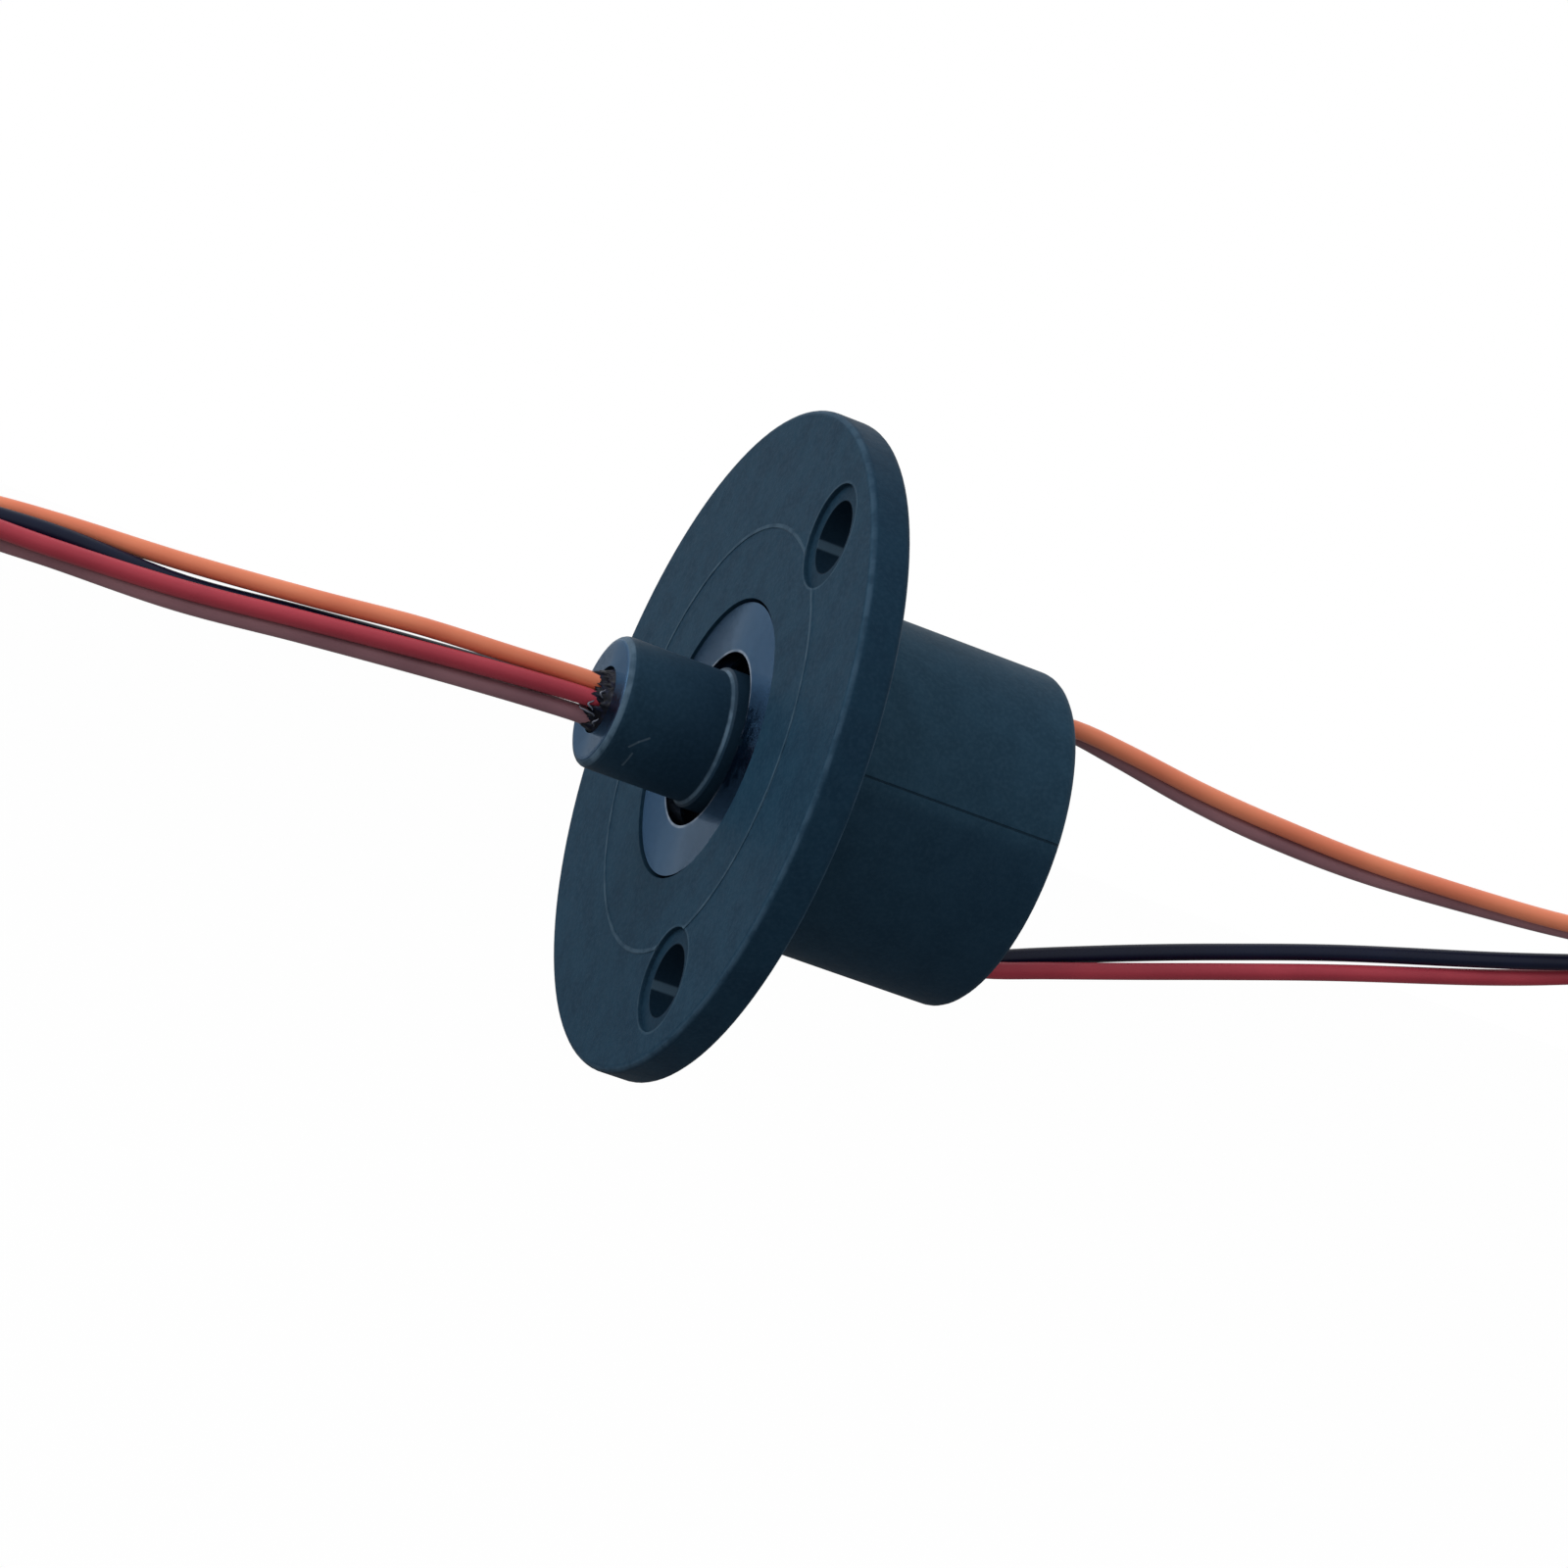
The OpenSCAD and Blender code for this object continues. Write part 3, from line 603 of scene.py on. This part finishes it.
def housing_moulding():
    """Housing and cap: mottled nylon with painted highlights on edges and mould lines, painted shade
    on the rim, the lower and rear body and in the holes, a painted glint in the holes, and a dark
    parting line.
    """
    f = Finish("housing_moulding", Specular_IOR_Level=0.02)
    x, y, z, r = f.axis("X"), f.axis("Y"), f.axis("Z"), f.radius()
    parting = PARTING_Y * y + PARTING_Z * z
    behind = f.step(x, -0.1 * MM, 0.3 * MM)
    flange = moulded(f, (33, 62, 82), (26, 50, 69), (53, 80, 101))
    # Painted light: the body behind the flange is a lighter copy of the flange's moulding.
    body = f.mix(behind, flange, moulded(f, (44, 73, 93), (36, 62, 80), (62, 90, 110)))
    # Painted shade: the body darker below the parting line and towards its rear end.
    lower = behind * (1.0 - f.step(parting, -1.5 * MM, 0.1 * MM))
    rearward = f.step(x, TUBE_SHADE_START, TUBE_SHADE_END)
    body = f.mix(lower * 0.3 + rearward * 0.2, body, linear(10, 30, 50))
    # Painted shade on the flange's rim.
    rim_shade = f.step(r, FLANGE_R - 0.25 * MM, FLANGE_R - 0.1 * MM)
    body = f.mix(rim_shade * 0.35, body, linear(16, 34, 52))
    edge = f.step(r, FLANGE_R - 0.4 * MM, FLANGE_R - 0.22 * MM)
    front_edge = edge * (1.0 - f.step(x, FACE_X + 0.16 * MM, FACE_X + 0.36 * MM))
    rear_edge = edge * f.step(x, -0.26 * MM, -0.1 * MM)
    on_face = 1.0 - f.step(x, FACE_X + 0.02 * MM, FACE_X + 0.1 * MM)
    line_highlights = line_at(f, r, MOULD_RING_R, 0.2 * MM)
    hole_shade, hole_glint = f.value(0), f.value(0)
    for hole_y, hole_z in BOLTS:
        across, up = y - hole_y, z - hole_z
        gap = (across * across + up * up) ** 0.5
        line_highlights = line_highlights + line_at(f, gap, SPOT_FACE_R, 0.2 * MM) * 0.7
        hole = 1.0 - f.step(gap, HOLE_R, HOLE_R + 0.04 * MM)
        side = line_at(f, GLINT_Y * up - GLINT_Z * across, 0.0, 0.4 * MM)
        hole_glint = hole_glint + hole * side * f.step(GLINT_Y * across + GLINT_Z * up, 0.0, 1 * MM)
        # Painted shade: full in the holes, fainter on the sunk floors of their spot faces.
        inside = 1.0 - f.step(gap, SPOT_FACE_R - 0.05 * MM, SPOT_FACE_R + 0.05 * MM)
        sunk = inside * (1.0 - on_face)
        hole_shade = hole_shade + hole + sunk * (1.0 - hole) * 0.35
    # Painted highlight along the flange's front and rear edges.
    body = f.mix(patchy_highlight(f, front_edge * 0.4 + rear_edge * 0.3), body, linear(76, 102, 124))
    # Painted highlight on the mould ring and on the edges of the spot faces round the holes.
    body = f.mix(patchy_highlight(f, line_highlights * on_face) * 0.5, body, linear(80, 104, 122))
    # Painted shade in the holes and their spot faces.
    body = f.mix(hole_shade * 0.75, body, linear(7, 18, 30))
    # Painted highlight: a glint across each hole's wall.
    body = f.mix(hole_glint * 0.5, body, linear(86, 112, 132))
    groove = behind * line_at(f, parting, 0.0, 0.09 * MM)
    f.set("Base Color", f.mix(groove * 0.55, body, linear(8, 20, 32)))
    grain = f.bump(moulded_grain(f), 0.016 * MM, 0.7)
    f.set("Normal", f.bump(1.0 - groove, 0.06 * MM, 1.0, grain))
    return f.material


def turned_normal(f):
    """Normal of a face turned on a lathe: fine rings tip it towards and from the axis."""
    y, z, r = f.axis("Y"), f.axis("Z"), f.radius()
    wave = f.node("ShaderNodeMath", {"operation": "SINE"}, {0: r * (math.tau / TURNED_PITCH)})
    uneven = f.noise(0.6 * MM, 2.0)
    tip = wave * (0.6 + 0.8 * uneven) * TURNED_SLOPE / r
    outwards = f.node("ShaderNodeCombineXYZ", None, {"Y": y * tip, "Z": z * tip})
    tipped = f.node("ShaderNodeVectorMath", {"operation": "ADD"}, {
        0: f.node("ShaderNodeNewGeometry", out="Normal"), 1: outwards,
    })
    return f.node("ShaderNodeVectorMath", {"operation": "NORMALIZE"}, {0: tipped})


def shaft_moulding():
    """Rotor shaft: darker nylon with a turned pale end, painted highlights on its edges, painted shade
    towards the flange and behind the collar, and two light scratches.
    """
    f = Finish("shaft_moulding", Specular_IOR_Level=0.08, Specular_Tint=TURNED_SHEEN)
    x, y, z, r = f.axis("X"), f.axis("Y"), f.axis("Z"), f.radius()
    side = moulded(f, (34, 60, 79), (26, 50, 67), (50, 76, 97))
    end = 1.0 - f.step(x, TIP_X + 0.03 * MM, TIP_X + 0.1 * MM)
    end_edge = line_at(f, x, TIP_X + 0.2 * MM, 0.22 * MM)
    end_edge = end_edge * f.step(r, SHAFT_R - 0.5 * MM, SHAFT_R - 0.3 * MM)
    collar_edge = line_at(f, x, COLLAR_X, 0.14 * MM)
    collar_edge = collar_edge * f.step(r, SHAFT_R - 0.1 * MM, SHAFT_R + 0.02 * MM)
    # Painted shade: darker towards the flange, and darker still in the gap behind the collar's edge.
    below = f.step(x, COLLAR_X + 0.1 * MM, COLLAR_X + 0.3 * MM)
    towards_flange = f.step(x, SHAFT_SHADE_START, SHAFT_SHADE_END)
    side = f.mix(towards_flange * 0.35, side, linear(8, 24, 40))
    body = f.mix(below * 0.3, side, linear(8, 20, 36))
    body = f.mix(end, body, f.mix(f.noise(0.8 * MM, 3.0), *TURNED_TINTS))
    # Painted highlight along the end's edge and the collar's edge.
    body = f.mix(patchy_highlight(f, end_edge + collar_edge) * 0.7, body, linear(92, 116, 136))
    for start, stop in SCRATCHES:
        body = f.mix(f.near_line(start, stop, 0.1 * MM) * 0.6, body, linear(90, 108, 122))
    f.set("Base Color", body)
    grain = f.bump(f.noise(0.14 * MM, 3.0), 0.01 * MM, 0.5)
    f.set("Roughness", 0.48 - 0.3 * end)
    f.set("Metallic", end * 0.95)
    f.set("Normal", f.mix_vector(end, grain, turned_normal(f)))
    return f.material


def turned_metal():
    """Cover ring: fine turned rings in its face, and a painted highlight along its bore's edge."""
    f = Finish("turned_metal", Metallic=1.0, Roughness=0.16, Specular_Tint=TURNED_SHEEN)
    r = f.radius()
    cloud = f.noise(0.8 * MM, 3.0)
    body = f.mix(cloud, *TURNED_TINTS)
    # Painted highlight along the bore's edge.
    bore_highlight = line_at(f, r, COVER_BORE_R + 0.06 * MM, 0.14 * MM)
    f.set("Base Color", f.mix(patchy_highlight(f, bore_highlight) * 0.6, body, linear(190, 200, 214)))
    f.set("Normal", turned_normal(f))
    return f.material


def lead_insulation(name, base, shade):
    """Silky insulation, a little darker in long soft patches."""
    f = Finish(name, Roughness=0.4, Specular_IOR_Level=0.2)
    cloud = f.step(f.noise(6 * MM, 2.0), 0.3, 0.7)
    f.set("Base Color", f.mix(cloud * 0.5, linear(*base), linear(*shade)))
    f.set("Normal", f.bump(f.noise(0.5 * MM, 2.0), 0.02 * MM, 0.4))
    return f.material


def compound():
    """Dark compound with small paler patches and a rough skin."""
    f = Finish("sealing_compound", Roughness=0.38, Specular_IOR_Level=0.16)
    patches = f.step(f.noise(0.4 * MM, 4.0), 0.45, 0.75)
    f.set("Base Color", f.mix(patches, linear(3, 7, 20), linear(22, 30, 56)))
    f.set("Normal", f.bump(f.noise(0.25 * MM, 4.0), 0.06 * MM, 0.8))
    return f.material


def plain_metal(name, colour, other, roughness, grain=0.3 * MM):
    """Metal with a faint cloud of a second tone and a fine grain."""
    f = Finish(name, Metallic=1.0, Roughness=roughness)
    f.set("Base Color", f.mix(f.noise(grain, 3.0), linear(*colour), linear(*other)))
    f.set("Normal", f.bump(f.noise(grain / 2, 3.0), 0.004 * MM, 0.5))
    return f.material


def plain_plastic(name, colour, other, roughness, grain=0.4 * MM):
    """Plastic or resin with a faint cloud of a second tone and a fine grain."""
    f = Finish(name, Roughness=roughness)
    f.set("Base Color", f.mix(f.noise(grain, 3.0), linear(*colour), linear(*other)))
    f.set("Normal", f.bump(f.noise(grain / 2, 2.0), 0.01 * MM, 0.5))
    return f.material


# Each lead's colour and its darker patches
LEAD_TINTS = {
    "orange": ((246, 146, 110), (226, 118, 90)),
    "red": ((186, 66, 81), (156, 51, 67)),
    "brown": ((164, 120, 128), (134, 94, 104)),
    "black": ((9, 20, 48), (6, 14, 36)),
}
finishes = {
    "slate_plastic": housing_moulding(),
    "shaft": shaft_moulding(),
    "turned_metal": turned_metal(),
    "potting": compound(),
    # pale tone of the strings is a painted highlight
    "wisp": plain_plastic("wisp_compound", (120, 126, 140), (84, 90, 104), 0.3, 0.2 * MM),
    "race_steel": plain_metal("ground_steel", (196, 199, 204), (168, 172, 178), 0.25),
    "ball_steel": plain_metal("polished_balls", (214, 216, 220), (196, 198, 204), 0.08),
    "shield_steel": plain_metal("pressed_shields", (164, 168, 174), (140, 144, 150), 0.32),
    "cage_plastic": plain_plastic("cage_nylon", (178, 152, 98), (158, 132, 82), 0.5),
    "contact_gold": plain_metal("contact_gold", (222, 178, 92), (204, 156, 74), 0.22),
    "washer_plastic": plain_plastic("washer_resin", (58, 82, 118), (48, 70, 104), 0.4),
    "board": plain_plastic("board_mask", (28, 92, 56), (20, 74, 44), 0.35),
    "tie_plastic": plain_plastic("tie_nylon", (22, 23, 26), (14, 15, 18), 0.45),
}
for colour, (base, shade) in LEAD_TINTS.items():
    finishes["lead_" + colour] = lead_insulation("insulation_" + colour, base, shade)
finishes["tinned"] = plain_metal("tinned_copper", (198, 196, 190), (176, 172, 164), 0.3, 0.1 * MM)


def dress(piece, finish):
    """Gives a piece one finish all over."""
    piece.data.materials.clear()
    piece.data.materials.append(finishes[finish])


for sub in frame["record"]["subparts"]:
    dress(frame["nodes"][sub["node"]], sub["material_slot"])
for piece in list(bpy.data.objects):
    if piece.name.endswith("_insulation"):
        dress(piece, "lead_" + piece.name.split("_")[2])
    elif piece.name.endswith("_strands"):
        dress(piece, "tinned")
for tie in tied.values():
    dress(tie, "tie_plastic")
for pad, (node, body, piece) in pads.items():
    dress(piece, "potting")
dress(highlight_wisps, "wisp")
dress(frame["nodes"]["rotor_shaft"], "shaft")

# ---------------------------------------------------------------- studio

FLOOR_Z = -0.11
FLOOR_SIZE = 6.0
FLOOR_ALBEDO = 0.28
FLOOR_GLOW, GLOW_SHARE = 1.12, 0.85
# Light from the room below and above its walls' top, which the ceiling's light fades in over
WORLD_LOW, WORLD_HIGH = 0.22, 0.72
WALL_TOP, CEILING = 0.1, 0.35


def floor():
    """Floor that looks white to the camera and keeps a soft shadow."""
    half = FLOOR_SIZE / 2
    corners = [(-half, -half, FLOOR_Z), (half, -half, FLOOR_Z), (half, half, FLOOR_Z),
               (-half, half, FLOOR_Z)]
    plane = add_piece("floor", corners, [(0, 1, 2, 3)])
    tone = (FLOOR_ALBEDO, FLOOR_ALBEDO, FLOOR_ALBEDO, 1)
    f = Finish("floor_white", Roughness=0.9, Base_Color=tone)
    ray = f.node("ShaderNodeLightPath", out="Is Camera Ray")
    glow = f.node("ShaderNodeEmission", None, {"Color": (1, 1, 1, 1), "Strength": FLOOR_GLOW})
    lit = Signal(f, f.surface.outputs[0])
    mixed = f.node("ShaderNodeMixShader", None, {0: ray * GLOW_SHARE, 1: lit, 2: glow})
    end = f.tree.nodes["Material Output"]
    f.tree.links.new(mixed.socket, end.inputs["Surface"])
    plane.data.materials.append(f.material)


def soft_light(name, place, size, power):
    """Round lamp that shines on the part's middle."""
    data = bpy.data.lights.new(name, "AREA")
    data.shape = "DISK"
    data.size = size
    data.energy = power
    lamp = bpy.data.objects.new(name, data)
    bpy.context.scene.collection.objects.link(lamp)
    lamp.location = place
    lamp.rotation_mode = "QUATERNION"
    lamp.rotation_quaternion = (-Vector(place)).to_track_quat("-Z", "Y")


class Sky(Finish):
    """The room: white to the camera and in what shines, and a pale ceiling over dim walls as light."""

    def __init__(self, name):
        world = bpy.data.worlds.new(name)
        bpy.context.scene.world = world
        world.use_nodes = True
        self.tree = world.node_tree
        self.surface = self.tree.nodes["Background"]
        self.place = self.node("ShaderNodeTexCoord", out="Generated")
        seen = self.node("ShaderNodeLightPath", out="Is Camera Ray")
        for ray in ("Is Glossy Ray", "Is Transmission Ray"):
            seen = self.node("ShaderNodeMath", {"operation": "MAXIMUM"}, {
                0: seen, 1: self.node("ShaderNodeLightPath", out=ray),
            })
        above = self.step(self.axis("Z"), WALL_TOP, CEILING)
        level = WORLD_LOW + (WORLD_HIGH - WORLD_LOW) * above
        self.surface.inputs["Color"].default_value = (1, 1, 1, 1)
        self.set("Strength", seen + (1.0 - seen) * level)


Sky("white_room")
floor()
soft_light("left_light", (-1.3, -0.15, 0.8), size=1.0, power=9)
soft_light("front_light", (-0.9, -1.1, 0.0), size=1.0, power=2)
bpy.context.scene.view_settings.view_transform = "Standard"
